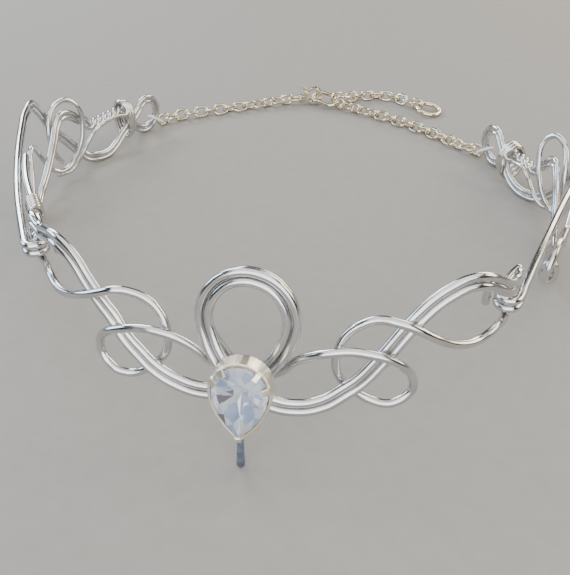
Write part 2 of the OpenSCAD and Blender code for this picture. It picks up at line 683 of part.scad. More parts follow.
function ring_joint(ring, hand) = on_side([ring.x, ring.y, 0.3] + 8.78 * ring_out, hand);

// Points that the chains pass through, as [x, y] from the foot of the post
LEFT_CHAIN = [
    [-51.7, 164.4], [-45.3, 168.8], [-37.4, 173], [-29.6, 177], [-21.6, 180.9],
    [-13.6, 185], [-8.2, 187.5]
];
RIGHT_CHAIN = [
    [61.6, 145.4], [57.4, 149], [53.4, 154], [48.6, 159.6], [42.8, 164.9], [37, 169.3],
    [31.2, 173.4], [25.2, 177.2], [19.2, 180.6]
];
TAIL_CHAIN = [
    [15.2, 191, 3.1], [20.2, 194.4, 0], [24.8, 196.4, 0], [29.6, 197.4, 0], [34, 196.8, 0],
    [38, 194, 0], [42, 190.2, 0]
];
clasp_at = [-4.3, 189];
tail_eye = [1.5, 2.35];

// The big link that the clasp closes on, with the right chain and the tail on it
big_from = [2.9, 190.1, 3.5];
big_to = [12.4, 184.6, 2.6];
big_wire = 1.5;
big_w = 7.4;
big_roll = 20;
big_along = unit(big_to - big_from);
big_side = unit(cross([0, 0, 1], big_along));
big_across = big_side * cos(big_roll) + cross(big_along, big_side) * sin(big_roll);
big_tail = (big_from + big_to) / 2 + big_along * 2.4 + big_across * (big_w - big_wire) / 2;

tail_ring_at = [50.3, 183.4, 1.6];
tail_ring_r = 4.7;
tail_ring_lean = 9.3;
tail_ring_to = unit([-8.6, 7.1, 0]);

module chain_left() {
    end = [clasp_at.x + tail_eye.x, clasp_at.y, tail_eye.y];
    path = concat([ring_joint(left_ring, -1)], [for (p = LEFT_CHAIN) [p.x, p.y, 0]], [end]);
    color("gainsboro") placed()
        links(concat([ring_link(left_ring, -1)], chain_rings(path, -0.6, left_links, 90)));
}

module chain_right() {
    path = concat([ring_joint(right_ring, 1)], [for (p = RIGHT_CHAIN) [p.x, p.y, 0]], [big_to]);
    color("gainsboro") placed()
        links(concat([ring_link(right_ring, 1)], chain_rings(path, 0.95, right_links, 0)));
}

module chain_tail() {
    ring_wire = [tail_ring_at.x, tail_ring_at.y, 0] + tail_ring_to * tail_ring_r;
    path = concat([big_tail - big_across * 0.95], TAIL_CHAIN, [ring_wire]);
    color("gainsboro") placed() links(chain_rings(path, 0.8, tail_links, 0));
}

module tail_ring() {
    color("gainsboro") placed() translate(tail_ring_at)
        rotate(a = tail_ring_lean, v = cross(tail_ring_to, [0, 0, 1]))
            rotate_extrude($fn = 48)
                translate([tail_ring_r, 0]) circle(d = big_wire, $fn = 24);
}

module clasp_ring() {
    color("gainsboro") placed() links([link_rings(
        (big_from + big_to) / 2, big_along, big_across,
        norm(big_to - big_from) + big_wire, big_w, big_wire, 8
    )], 8);
}

// Clasp: it stands on its edge, and its lever closes the hook. Its own frame has x along
// the chain and y up, and z across its thickness.
hook_at = [6.8, 3.75];
hook_r = 3.6;
hook_hole = 2.2;
pivot = [4.07, 4.75];
mouth_r = 4.1;
lever_t = 1.2;

module on_clasp() {
    placed() translate([clasp_at.x, clasp_at.y, 0]) rotate([90, 0, 0]) children();
}

module disc(at, r, t) {
    translate([at.x, at.y, 0]) cylinder(r = r, h = t, center = true, $fn = 48);
}

// The mouth of the hook, cut round the pivot so that the lever's tip can swing through it
module mouth(r, from, to, t) {
    intersection() {
        disc(pivot, r, t);
        translate([hook_at.x, hook_at.y, 0]) linear_extrude(height = t, center = true)
            polygon([[0, 0], 7 * [cos(from), sin(from)], 9 * [cos(100), sin(100)],
                     7 * [cos(to), sin(to)]]);
    }
}

module clasp_body() {
    color("gainsboro") on_clasp() union() {
        difference() {
            union() {
                disc(hook_at, hook_r, clasp_t);
                disc(pivot, 1.5, clasp_t);
                disc(tail_eye, 1.6, 1.4);
                linear_extrude(height = 1.4, center = true)
                    polygon([[1.5, 0.75], [4.6, 1.2], [4.4, 5.4], [1.5, 3.95]]);
            }
            disc(hook_at, hook_hole, clasp_t + 1);
            disc(tail_eye, 0.92, clasp_t + 1);
            mouth(mouth_r, 50, 150, clasp_t + 1);
            translate([2, 3.45, -lever_t / 2 - 0.1]) cube([3.6, 5, lever_t + 0.2]);
        }
        disc(pivot, pin_d / 2, clasp_t);
    }
}

module clasp_lever() {
    color("gainsboro") on_clasp() difference() {
        union() {
            disc(pivot, 1.1, lever_t);
            intersection() {
                difference() {
                    disc(hook_at, hook_r - 0.1, lever_t);
                    disc(hook_at, hook_hole + 0.1, lever_t + 1);
                }
                mouth(mouth_r - 0.1, 48, 158, lever_t);
            }
            linear_extrude(height = lever_t, center = true)
                polygon([[3.1, 5], [1.9, 7.2], [2.5, 7.8], [5.2, 5.9], [4.4, 4.9]]);
        }
        disc(pivot, pin_d / 2 + 0.05, lever_t + 1);
    }
}

front_wire_upper();
front_wire_lower();
front_wire_weave();
setting();
stone();
left_frame_outer();
left_frame_inner();
left_flourish();
left_wrap();
left_binding();
right_frame_outer();
right_frame_inner();
right_flourish();
right_wrap();
right_binding();
chain_left();
chain_right();
chain_tail();
tail_ring();
clasp_ring();
clasp_body();
clasp_lever();
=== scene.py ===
# %% [markdown]
# A circlet is a bent-wire crown that lies low on the forehead. This one has a front panel
# of silver wire with a pear-shaped crystal, two looped side panels, and a fine chain with
# a clasp behind. The imported model already holds every wire and link at its true place.
# Here each of them is given its true roundness, its finish and its light, so we start by
# loading the model.

import math

import bmesh
import bpy
import numpy as np
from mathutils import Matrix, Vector


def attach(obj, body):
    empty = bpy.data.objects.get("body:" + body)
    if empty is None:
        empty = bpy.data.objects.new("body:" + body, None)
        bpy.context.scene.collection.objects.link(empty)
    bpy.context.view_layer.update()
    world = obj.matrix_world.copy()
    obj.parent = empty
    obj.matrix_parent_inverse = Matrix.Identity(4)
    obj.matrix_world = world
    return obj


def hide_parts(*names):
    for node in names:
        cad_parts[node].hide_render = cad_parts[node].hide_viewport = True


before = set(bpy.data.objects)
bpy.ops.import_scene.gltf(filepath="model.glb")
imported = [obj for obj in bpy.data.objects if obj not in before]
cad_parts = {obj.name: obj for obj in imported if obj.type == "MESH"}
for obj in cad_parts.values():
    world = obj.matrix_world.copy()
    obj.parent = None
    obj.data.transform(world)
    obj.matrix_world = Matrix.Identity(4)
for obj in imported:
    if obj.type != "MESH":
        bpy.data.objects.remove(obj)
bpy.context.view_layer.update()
MM = 0.001

# %% [markdown]
# The camera stands where the photographer stood: above the front panel, looking down at
# the stone and across the empty loop to the chain. The near wires are ten centimetres
# away and the chain is thirty, so the camera's near limit has to be made shorter than
# usual, or it would cut the front panel off.

# %% Camera
camera_data = bpy.data.cameras.new("camera")
camera_data.lens = 40.07
camera_data.sensor_width = 36
camera_data.clip_start = 0.01
camera_data.dof.use_dof = False
camera = bpy.data.objects.new("camera", camera_data)
bpy.context.scene.collection.objects.link(camera)
camera_place = Vector((14.32, -173.16, 101)) * MM
camera_tilt = math.radians(36.8)
heading = Vector((-0.0958, 0.9954, 0))
looking = heading * math.cos(camera_tilt) - Vector((0, 0, math.sin(camera_tilt)))
camera.location = camera_place
camera.rotation_euler = looking.to_track_quat("-Z", "Y").to_euler()
bpy.context.scene.camera = camera
print("camera height in millimetres:", round(camera_place.z / MM))

# %% [markdown]
# Polished metal has hardly any colour of its own: it shows the room. To look like bright
# wire it needs large pale lights with darker room between them, so that each wire gets a
# bright band and a thin dark one. Six soft boxes in a nearly dark room do that: a large
# one overhead, a large one in front, and four smaller ones at the back and the sides, cool
# on the left and warm on the right. A pale grey sheet of paper serves as the floor.

# %% Floor and light
def softbox(name, place, aim, size, power, colour):
    data = bpy.data.lights.new(name, "AREA")
    data.shape = "RECTANGLE"
    data.size, data.size_y = size
    data.energy = power
    data.color = colour
    light = bpy.data.objects.new(name, data)
    bpy.context.scene.collection.objects.link(light)
    light.location = place
    light.rotation_euler = (Vector(aim) - Vector(place)).to_track_quat("-Z", "Y").to_euler()
    return light


softbox("overhead", (0, -0.1, 0.62), (0, -0.1, 0), (0.9, 0.8), 4.2, (1.0, 1.0, 1.0))
softbox("reflector_front", (0.03, -0.6, 0.3), (0, -0.1, 0.02), (0.9, 0.55), 6.4, (0.97, 0.985, 1.0))
softbox("key_back_left", (-0.4, 0.56, 0.4), (0, 0, 0), (0.42, 0.28), 4.4, (0.9, 0.95, 1.0))
softbox("lamp_back_right", (0.38, 0.6, 0.34), (0, 0, 0.02), (0.5, 0.32), 3.6, (1.0, 0.92, 0.8))
softbox("window_left", (-0.7, 0.05, 0.32), (0, 0, 0.02), (0.42, 0.36), 3.2, (0.62, 0.8, 1.0))
softbox("lamp_right", (0.65, 0.1, 0.34), (0, 0, 0.02), (0.42, 0.36), 2.6, (1.0, 0.84, 0.62))

world = bpy.data.worlds.new("studio")
world.use_nodes = True
background = world.node_tree.nodes["Background"]
background.inputs["Color"].default_value = (0.5, 0.5, 0.52, 1)
background.inputs["Strength"].default_value = 0.1
bpy.context.scene.world = world

# %% [markdown]
# A finish is a small network of nodes. One helper turns a colour as a painter writes it
# into the linear numbers that Blender works with, and one adds a node together with its
# settings and its links. Three nodes come back in every finish, so each gets a short form:
# a noise, a stretch of a value's range, and a blend of two colours. A noise's scale is the
# number of its waves in a metre.

# %% Helpers for finishes
def linear(code):
    channels = [int(code[i:i + 2], 16) / 255 for i in (1, 3, 5)]
    return (*[c / 12.92 if c <= 0.04045 else ((c + 0.055) / 1.055) ** 2.4 for c in channels], 1)


def add(tree, kind, inputs=None, **settings):
    made = tree.nodes.new(kind)
    for name, value in settings.items():
        setattr(made, name, value)
    for name, value in (inputs or {}).items():
        if isinstance(value, bpy.types.NodeSocket):
            tree.links.new(value, made.inputs[name])
        else:
            made.inputs[name].default_value = value
    return made


def noise(tree, place, scale, detail):
    return add(tree, "ShaderNodeTexNoise", {"Vector": place, "Scale": scale, "Detail": detail})


def ranged(tree, value, low, high, to_low=0.0, to_high=1.0):
    return add(tree, "ShaderNodeMapRange", {
        "Value": value, "From Min": low, "From Max": high, "To Min": to_low, "To Max": to_high})


def blend(tree, factor, first, second):
    return add(tree, "ShaderNodeMix", {"Factor": factor, 6: linear(first), 7: linear(second)},
               data_type="RGBA")


def new_finish(name, **shader_values):
    material = bpy.data.materials.new(name)
    material.use_nodes = True
    shader = material.node_tree.nodes["Principled BSDF"]
    for socket, value in shader_values.items():
        shader.inputs[socket.replace("_", " ")].default_value = value
    return material, material.node_tree, shader


# %% [markdown]
# The floor is uncoated paper: pale grey, without any gloss, with a faint mottle from its
# fibres that is a few millimetres across. It is grey and not white because the wires
# mirror it, and bright wire would vanish against white.

# %% Paper floor
paper, tree, shader = new_finish("uncoated_paper", Roughness=0.9)
place = add(tree, "ShaderNodeTexCoord")
mottle = noise(tree, place.outputs["Object"], 260.0, 4.0)
tone_and_painted_reflection = blend(tree, mottle.outputs["Fac"], "#8B8883", "#95928D")
tree.links.new(tone_and_painted_reflection.outputs[2], shader.inputs["Base Color"])

floor_mesh = bpy.data.meshes.new("floor")
reach = 6
floor_mesh.from_pydata(
    [(-reach, -reach, 0), (reach, -reach, 0), (reach, reach, 0), (-reach, reach, 0)], [], [(0, 1, 2, 3)])
floor_mesh.materials.append(paper)
floor = bpy.data.objects.new("floor", floor_mesh)
bpy.context.scene.collection.objects.link(floor)

# %% [markdown]
# The wires are soft aluminium, drawn through a die. Drawing leaves hair-fine lines along
# the wire, and bending it by hand adds faint scuffs and a slightly duller skin here and
# there. The lines follow the wire and not the room, so this finish reads a value called
# draw, which the wires are given below: the place round the section and the distance
# along the wire, both in millimetres. Real draw lines are a few hundredths of a
# millimetre wide; they are drawn here about 0.2 mm wide so that they show. The colour is
# darker than bare aluminium's, so that wire which mirrors the floor still stands out on it.

# %% Drawn wire finish
LINE_STRETCH = 0.035
LINE_DEPTH = 0.00006


def drawn_wire(name, pale, dull, rough_low, rough_high):
    material, tree, shader = new_finish(name, Metallic=1.0)
    draw = add(tree, "ShaderNodeAttribute", attribute_name="draw")
    stretch = add(tree, "ShaderNodeMapping",
                  {"Vector": draw.outputs["Vector"], "Scale": (1, 1, LINE_STRETCH)})
    lines = noise(tree, stretch.outputs["Vector"], 4.5, 3.0)
    place = add(tree, "ShaderNodeTexCoord")
    scuffs = noise(tree, place.outputs["Object"], 190.0, 5.0)
    skin = ranged(tree, scuffs.outputs["Fac"], 0.35, 0.7)
    colour = blend(tree, skin.outputs["Result"], pale, dull)
    rough = ranged(tree, scuffs.outputs["Fac"], 0.3, 0.75, rough_low, rough_high)
    relief = add(tree, "ShaderNodeBump",
                 {"Height": lines.outputs["Fac"], "Strength": 0.1, "Distance": LINE_DEPTH})
    tree.links.new(colour.outputs[2], shader.inputs["Base Color"])
    tree.links.new(rough.outputs["Result"], shader.inputs["Roughness"])
    tree.links.new(relief.outputs["Normal"], shader.inputs["Normal"])
    return material


bright_wire = drawn_wire("drawn_aluminium_wire", "#D9D9DA", "#C6C5C4", 0.15, 0.26)
thin_wire = drawn_wire("drawn_aluminium_thin_wire", "#DCD9D3", "#CAC6BE", 0.15, 0.26)

# %% [markdown]
# The setting, the chains and the clasp are cast or stamped brass with a thin silver plate.
# Plate is smoother than drawn wire and a little warmer where it has started to tarnish, in
# the places that fingers and polish don't reach. Patches of tarnish are a millimetre or
# two across, and the casting's skin has small dents of about half a millimetre. The post
# under the stone is the same metal; its darker, bluer colour is painted shade from the
# stone above it and a painted reflection of cool light, so it gets a third set of numbers.

# %% Silver plate finish
DENT_DEPTH = 0.0001


def silver_plate(name, clean, tarnished, rough_low, rough_high, dents):
    material, tree, shader = new_finish(name, Metallic=1.0)
    place = add(tree, "ShaderNodeTexCoord")
    patches = noise(tree, place.outputs["Object"], 520.0, 4.0)
    amount = ranged(tree, patches.outputs["Fac"], 0.38, 0.68)
    colour = blend(tree, amount.outputs["Result"], clean, tarnished)
    rough = ranged(tree, patches.outputs["Fac"], 0.35, 0.7, rough_low, rough_high)
    skin = noise(tree, place.outputs["Object"], 1900.0, 2.0)
    relief = add(tree, "ShaderNodeBump",
                 {"Height": skin.outputs["Fac"], "Strength": dents, "Distance": DENT_DEPTH})
    tree.links.new(colour.outputs[2], shader.inputs["Base Color"])
    tree.links.new(rough.outputs["Result"], shader.inputs["Roughness"])
    tree.links.new(relief.outputs["Normal"], shader.inputs["Normal"])
    return material


setting_plate = silver_plate("silver_plated_setting", "#F6F0E2", "#E8DABD", 0.28, 0.4, 0.08)
chain_plate = silver_plate("silver_plated_chain", "#E9E0CC", "#D6C7A6", 0.1, 0.22, 0.12)
# The post's colour is painted shade from the stone above it and a painted blue reflection.
post_painted_shade_and_reflection = silver_plate("post_painted_shade_and_reflection", "#9FAEC6", "#7F8CA3", 0.2, 0.34, 0.1)

# %% [markdown]
# The model keeps each wire as a string of flat-sided rings, which is all that a solid
# needs. The eye wants a round wire. Walking from one cut end to the other and taking the
# middle of each ring gives back the line that the wire was bent along. A cut end is found
# as a flat patch of faces whose corners all lie equally far from their middle. A set of
# corners has no fixed order, so they are sorted before they are added up: otherwise the
# last digits, and the way round of each link below, would change from run to run.

# %% Middle line of a wire
SAME_POINT = 1e-6
SAME_PLANE = 0.99999
EVEN_REACH = 1.03


def in_order(verts):
    return sorted(verts, key=lambda v: v.index)


def middle_line(obj, sides):
    shell = bmesh.new()
    shell.from_mesh(obj.data)
    bmesh.ops.remove_doubles(shell, verts=shell.verts, dist=SAME_POINT)
    shell.verts.index_update()
    end = None
    seen = set()
    for face in shell.faces:
        if face in seen:
            continue
        patch, queue = {face}, [face]
        while queue:
            for edge in queue.pop().edges:
                for other in edge.link_faces:
                    if other not in patch and other.normal.dot(face.normal) > SAME_PLANE:
                        patch.add(other)
                        queue.append(other)
        seen |= patch
        corners = in_order({v for f in patch for v in f.verts})
        if len(corners) != sides or len(patch) != sides - 2:
            continue
        middle = sum((v.co for v in corners), Vector()) / sides
        reach = [(v.co - middle).length for v in corners]
        if max(reach) < EVEN_REACH * min(reach):
            end = corners
            break
    ring, walked, line = end, set(end), []
    while ring:
        line.append(sum((v.co for v in ring), Vector()) / len(ring))
        ring = in_order({e.other_vert(v) for v in ring for e in v.link_edges} - walked)
        walked.update(ring)
    shell.free()
    return line


def polyline(name, points):
    mesh = bpy.data.meshes.new(name)
    mesh.from_pydata(points, [(i, i + 1) for i in range(len(points) - 1)], [])
    obj = bpy.data.objects.new(name, mesh)
    bpy.context.scene.collection.objects.link(obj)
    return obj


# %% [markdown]
# A round wire is one profile, a circle, carried along a path, so it follows a rule and
# Geometry Nodes can make it. The path is turned into a Bezier curve with automatic
# handles, which passes through every point and rounds off the corners between them. Where
# it would swing through the table, it is lifted until the wire just lies on it. The cut
# ends are filed: the last step of the wire is drawn in a little.

# %% Geometry Nodes tree for a round wire
CREASE = 0.6


def tree_inputs(tree, wanted):
    for name, kind in wanted:
        tree.interface.new_socket(name, in_out="INPUT", socket_type=kind)
    tree.interface.new_socket("Mesh", in_out="OUTPUT", socket_type="NodeSocketGeometry")
    return add(tree, "NodeGroupInput").outputs


def wire_tree():
    tree = bpy.data.node_groups.new("round_wire", "GeometryNodeTree")
    given = tree_inputs(tree, [
        ("Path", "NodeSocketGeometry"), ("Wire diameter", "NodeSocketFloat"),
        ("Step", "NodeSocketFloat"), ("Sides", "NodeSocketInt"),
        ("Filed end", "NodeSocketFloat"), ("Finish", "NodeSocketMaterial")])
    radius = add(tree, "ShaderNodeMath", {0: given["Wire diameter"], 1: 0.5}, operation="MULTIPLY")
    curve = add(tree, "GeometryNodeMeshToCurve", {"Mesh": given["Path"]})
    bent = add(tree, "GeometryNodeCurveSplineType", {"Curve": curve.outputs[0]}, spline_type="BEZIER")
    smooth = add(tree, "GeometryNodeCurveSetHandles", {"Curve": bent.outputs[0]}, handle_type="AUTO")
    fine = add(tree, "GeometryNodeSetSplineResolution",
               {"Geometry": smooth.outputs[0], "Resolution": 16})
    even = add(tree, "GeometryNodeResampleCurve",
               {"Curve": fine.outputs[0], "Length": given["Step"]}, mode="LENGTH")
    here = add(tree, "GeometryNodeInputPosition")
    part = add(tree, "ShaderNodeSeparateXYZ", {"Vector": here.outputs[0]})
    height = add(tree, "ShaderNodeMath", {0: part.outputs["Z"], 1: radius.outputs[0]},
                 operation="MAXIMUM")
    above = add(tree, "ShaderNodeCombineXYZ",
                {"X": part.outputs["X"], "Y": part.outputs["Y"], "Z": height.outputs[0]})
    lifted = add(tree, "GeometryNodeSetPosition",
                 {"Geometry": even.outputs[0], "Position": above.outputs[0]})
    along = add(tree, "GeometryNodeSplineParameter")
    marked = add(tree, "GeometryNodeStoreNamedAttribute",
                 {"Geometry": lifted.outputs[0], "Name": "along_wire", "Value": along.outputs["Length"]})
    ends = add(tree, "GeometryNodeCurveEndpointSelection", {"Start Size": 1, "End Size": 1})
    width = add(tree, "GeometryNodeSwitch",
                {"Switch": ends.outputs[0], "False": 1.0, "True": given["Filed end"]},
                input_type="FLOAT")
    circle = add(tree, "GeometryNodeCurvePrimitiveCircle",
                 {"Resolution": given["Sides"], "Radius": radius.outputs[0]})
    spot = add(tree, "GeometryNodeInputPosition")
    section = add(tree, "GeometryNodeStoreNamedAttribute",
                  {"Geometry": circle.outputs[0], "Name": "round_wire", "Value": spot.outputs[0]},
                  data_type="FLOAT_VECTOR")
    swept = add(tree, "GeometryNodeCurveToMesh", {
        "Curve": marked.outputs[0], "Profile Curve": section.outputs[0],
        "Scale": width.outputs[0], "Fill Caps": True})
    distance = add(tree, "GeometryNodeInputNamedAttribute", {"Name": "along_wire"}, data_type="FLOAT")
    around = add(tree, "GeometryNodeInputNamedAttribute", {"Name": "round_wire"},
                 data_type="FLOAT_VECTOR")
    split = add(tree, "ShaderNodeSeparateXYZ", {"Vector": around.outputs[0]})
    joined = add(tree, "ShaderNodeCombineXYZ",
                 {"X": split.outputs["X"], "Y": split.outputs["Y"], "Z": distance.outputs[0]})
    in_mm = add(tree, "ShaderNodeVectorMath", {0: joined.outputs[0], "Scale": 1 / MM},
                operation="SCALE")
    drawn = add(tree, "GeometryNodeStoreNamedAttribute",
                {"Geometry": swept.outputs[0], "Name": "draw", "Value": in_mm.outputs[0]},
                data_type="FLOAT_VECTOR")
    soft = add(tree, "GeometryNodeSetShadeSmooth",
               {"Geometry": drawn.outputs[0], "Shade Smooth": True})
    bend = add(tree, "GeometryNodeInputMeshEdgeAngle")
    sharp = add(tree, "FunctionNodeCompare", {0: bend.outputs["Unsigned Angle"], 1: CREASE})
    crisp = add(tree, "GeometryNodeSetShadeSmooth",
                {"Geometry": soft.outputs[0], "Selection": sharp.outputs[0], "Shade Smooth": False},
                domain="EDGE")
    real = add(tree, "GeometryNodeRealizeInstances", {"Geometry": crisp.outputs[0]})
    done = add(tree, "GeometryNodeSetMaterial",
               {"Geometry": real.outputs[0], "Material": given["Finish"]})
    add(tree, "NodeGroupOutput", {"Mesh": done.outputs[0]})
    return tree


round_wire = wire_tree()
print("nodes in the wire tree:", len(round_wire.nodes))

# %% [markdown]
# A tree is used through a modifier. Its inputs are set by their identifiers, because two
# inputs may share a name. Then the result is turned into a plain mesh, which can ride on
# a body of the model and can be exported.

# %% From a tree to a plain piece
def grown(name, source, tree, values):
    modifier = source.modifiers.new("grow", "NODES")
    modifier.node_group = tree
    for socket in tree.interface.items_tree:
        if socket.in_out == "INPUT" and socket.name in values:
            modifier[socket.identifier] = values[socket.name]
    bpy.context.view_layer.update()
    seen = source.evaluated_get(bpy.context.evaluated_depsgraph_get())
    mesh = bpy.data.meshes.new_from_object(seen)
    source.modifiers.remove(modifier)
    bpy.data.objects.remove(source)
    mesh.name = name
    piece = bpy.data.objects.new(name, mesh)
    bpy.context.scene.collection.objects.link(piece)
    return piece


def belongs(piece, body, slot, *nodes):
    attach(piece, body)
    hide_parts(*nodes)
    print(piece.name, "has", len(piece.data.polygons), "faces")


# %% [markdown]
# The front panel is three wires: a pair that runs side by side from hook to hook and
# makes the tall loop over the stone, and a third one that weaves through them. The side
# panels are a pair each, with a single wire for the oval and its tendril. All of them are
# 14 gauge wire, 1.63 mm thick.

# %% Main wires
WIRE_D = 1.63 * MM
MAIN_STEP, MAIN_SIDES, MAIN_END = 0.5 * MM, 16, 0.8
MAIN_WIRES = {
    "front_wire_upper": 8, "front_wire_lower": 8, "front_wire_weave": 8,
    "left_frame_outer": 6, "left_frame_inner": 6, "left_flourish": 6,
    "right_frame_outer": 6, "right_frame_inner": 6, "right_flourish": 6,
}
for node, sides in MAIN_WIRES.items():
    path = polyline(node + "_path", middle_line(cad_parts[node], sides))
    piece = grown(node + "_round", path, round_wire, {
        "Wire diameter": WIRE_D, "Step": MAIN_STEP, "Sides": MAIN_SIDES,
        "Filed end": MAIN_END, "Finish": bright_wire})
    belongs(piece, "tiara", "wire", node)

# %% [markdown]
# Thinner wire, 1.3 mm, makes the hanging bow and the knot that holds the crossing at the
# rear ring, and a length of 0.8 mm wire binds each panel near its hook. It is the same
# tree with other numbers: a tight coil needs shorter steps. These wires have five sides
# in the model.

# %% Thin wires
THIN_MODEL_SIDES = 5
THIN_STEP, THIN_SIDES, THIN_END = 0.35 * MM, 14, 0.75
THIN_WIRES = {
    "left_wrap": 1.3 * MM, "left_binding": 0.8 * MM,
    "right_wrap": 1.3 * MM, "right_binding": 0.8 * MM,
}
for node, thickness in THIN_WIRES.items():
    path = polyline(node + "_path", middle_line(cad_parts[node], THIN_MODEL_SIDES))
    piece = grown(node + "_round", path, round_wire, {
        "Wire diameter": thickness, "Step": THIN_STEP, "Sides": THIN_SIDES,
        "Filed end": THIN_END, "Finish": thin_wire})
    belongs(piece, "tiara", "binding_wire", node)

# %% [markdown]
# The chain is a cable chain: closed oval links, each a quarter turn from the last. One
# link is a rectangle with rounded corners, swept with a circle. The model says where each
# link is: the loose rings of its mesh are sorted out one by one, and the spread of their
# corners gives the direction of the link's length and of its width. The rounded corners
# take up nearly half of the link's width each, so that its ends are almost half circles.

# %% Places of the links
NEARLY_HALF = 0.4999


def link_places(obj):
    shell = bmesh.new()
    shell.from_mesh(obj.data)
    bmesh.ops.remove_doubles(shell, verts=shell.verts, dist=SAME_POINT)
    shell.verts.index_update()
    places, seen = [], set()
    for start in shell.verts:
        if start in seen:
            continue
        link, queue = {start}, [start]
        while queue:
            vert = queue.pop()
            for edge in vert.link_edges:
                other = edge.other_vert(vert)
                if other not in link:
                    link.add(other)
                    queue.append(other)
        seen |= link
        corners = np.array([v.co for v in in_order(link)])
        middle = corners.mean(0)
        axes = np.linalg.svd(corners - middle, full_matrices=False)[2]
        spread = [np.ptp((corners - middle) @ axis) for axis in axes]
        places.append((middle, axes[0], axes[1], spread))
    shell.free()
    return places


def link_tree():
    tree = bpy.data.node_groups.new("oval_links", "GeometryNodeTree")
    given = tree_inputs(tree, [
        ("Places", "NodeSocketGeometry"), ("Length", "NodeSocketFloat"),
        ("Width", "NodeSocketFloat"), ("Wire diameter", "NodeSocketFloat"),
        ("Corner steps", "NodeSocketInt"), ("Sides", "NodeSocketInt"),
        ("Finish", "NodeSocketMaterial")])
    length = add(tree, "ShaderNodeMath", {0: given["Length"], 1: given["Wire diameter"]},
                 operation="SUBTRACT")
    width = add(tree, "ShaderNodeMath", {0: given["Width"], 1: given["Wire diameter"]},
                operation="SUBTRACT")
    corner = add(tree, "ShaderNodeMath", {0: width.outputs[0], 1: NEARLY_HALF},
                 operation="MULTIPLY")
    outline = add(tree, "GeometryNodeCurvePrimitiveQuadrilateral",
                  {"Width": length.outputs[0], "Height": width.outputs[0]})
    oval = add(tree, "GeometryNodeFilletCurve", {
        "Curve": outline.outputs[0], "Count": given["Corner steps"],
        "Radius": corner.outputs[0], "Limit Radius": True}, mode="POLY")
    radius = add(tree, "ShaderNodeMath", {0: given["Wire diameter"], 1: 0.5}, operation="MULTIPLY")
    circle = add(tree, "GeometryNodeCurvePrimitiveCircle",
                 {"Resolution": given["Sides"], "Radius": radius.outputs[0]})
    link = add(tree, "GeometryNodeCurveToMesh",
               {"Curve": oval.outputs[0], "Profile Curve": circle.outputs[0]})
    along = add(tree, "GeometryNodeInputNamedAttribute", {"Name": "along"}, data_type="FLOAT_VECTOR")
    across = add(tree, "GeometryNodeInputNamedAttribute", {"Name": "across"}, data_type="FLOAT_VECTOR")
    turned = add(tree, "FunctionNodeAxesToRotation",
                 {"Primary Axis": along.outputs[0], "Secondary Axis": across.outputs[0]},
                 primary_axis="X", secondary_axis="Y")
    dots = add(tree, "GeometryNodeMeshToPoints", {"Mesh": given["Places"]})
    placed = add(tree, "GeometryNodeInstanceOnPoints", {
        "Points": dots.outputs[0], "Instance": link.outputs[0], "Rotation": turned.outputs[0]})
    real = add(tree, "GeometryNodeRealizeInstances", {"Geometry": placed.outputs[0]})
    soft = add(tree, "GeometryNodeSetShadeSmooth",
               {"Geometry": real.outputs[0], "Shade Smooth": True})
    done = add(tree, "GeometryNodeSetMaterial",
               {"Geometry": soft.outputs[0], "Material": given["Finish"]})
    add(tree, "NodeGroupOutput", {"Mesh": done.outputs[0]})
    return tree


def links_at(name, places, length, width, wire, corner_steps=7, sides=12):
    mesh = bpy.data.meshes.new(name + "_places")
    mesh.from_pydata([tuple(p[0]) for p in places], [], [])
    for attribute, column in (("along", 1), ("across", 2)):
        data = mesh.attributes.new(attribute, "FLOAT_VECTOR", "POINT").data
        for i, place in enumerate(places):
            data[i].vector = tuple(place[column])
    source = bpy.data.objects.new(name + "_places", mesh)
    bpy.context.scene.collection.objects.link(source)
    return grown(name, source, oval_links, {
        "Length": length, "Width": width, "Wire diameter": wire, "Corner steps": corner_steps,
        "Sides": sides, "Finish": chain_plate})


oval_links = link_tree()

# %% [markdown]
# Nearly all links are 6.4 mm long. The one that goes round a side panel's rear ring is
# 7.3 mm, so that it has room for two wires. Links of one chain are joined into one piece.

# %% Chains
LINK_L, END_LINK_L, LINK_W, LINK_WIRE = 6.4 * MM, 7.3 * MM, 4.6 * MM, 1 * MM
LONG_FROM = 7 * MM


def joined(name, pieces):
    into = bmesh.new()
    for piece in pieces:
        into.from_mesh(piece.data)
    mesh = pieces[0].data
    into.to_mesh(mesh)
    into.free()
    for piece in pieces[1:]:
        bpy.data.objects.remove(piece)
    pieces[0].name = name
    return pieces[0]


for node in ("chain_left", "chain_right", "chain_tail"):
    places = link_places(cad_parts[node])
    long_ones = [p for p in places if p[3][0] > LONG_FROM]
    usual = [p for p in places if p[3][0] <= LONG_FROM]
    pieces = [links_at(node + "_links", usual, LINK_L, LINK_W, LINK_WIRE)]
    if long_ones:
        pieces.append(links_at(node + "_end_link", long_ones, END_LINK_L, LINK_W, LINK_WIRE))
    belongs(joined(node + "_round", pieces), "tiara", "chain", node)
    print(node, "has", len(places), "links")

# %% [markdown]
# The big ring that the clasp hooks into and the round one at the end of the extension
# chain are made with the same tree, from thicker wire.

# %% Rings
RING_WIRE, RING_SIDES = 1.5 * MM, 20
CLASP_RING_W, TAIL_RING_W = 7.4 * MM, 10.9 * MM
place = link_places(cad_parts["clasp_ring"])[0]
ring = links_at("clasp_ring_round", [place], place[3][0], CLASP_RING_W, RING_WIRE, 12, RING_SIDES)
belongs(ring, "tiara", "chain", "clasp_ring")
place = link_places(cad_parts["tail_ring"])[0]
ring = links_at("tail_ring_round", [place], TAIL_RING_W, TAIL_RING_W, RING_WIRE, 14, RING_SIDES)
belongs(ring, "tiara", "chain", "tail_ring")

# %% [markdown]
# Clasp and setting are cast, so they have no sharp edges. A copy of each solid is built
# anew from small cubes, a voxel remesh, and then smoothed a little: that rounds every
# edge by about the size of a voxel, as casting and tumbling do. The lever is the only
# piece that moves, and the part of the setting below the cup is the post.

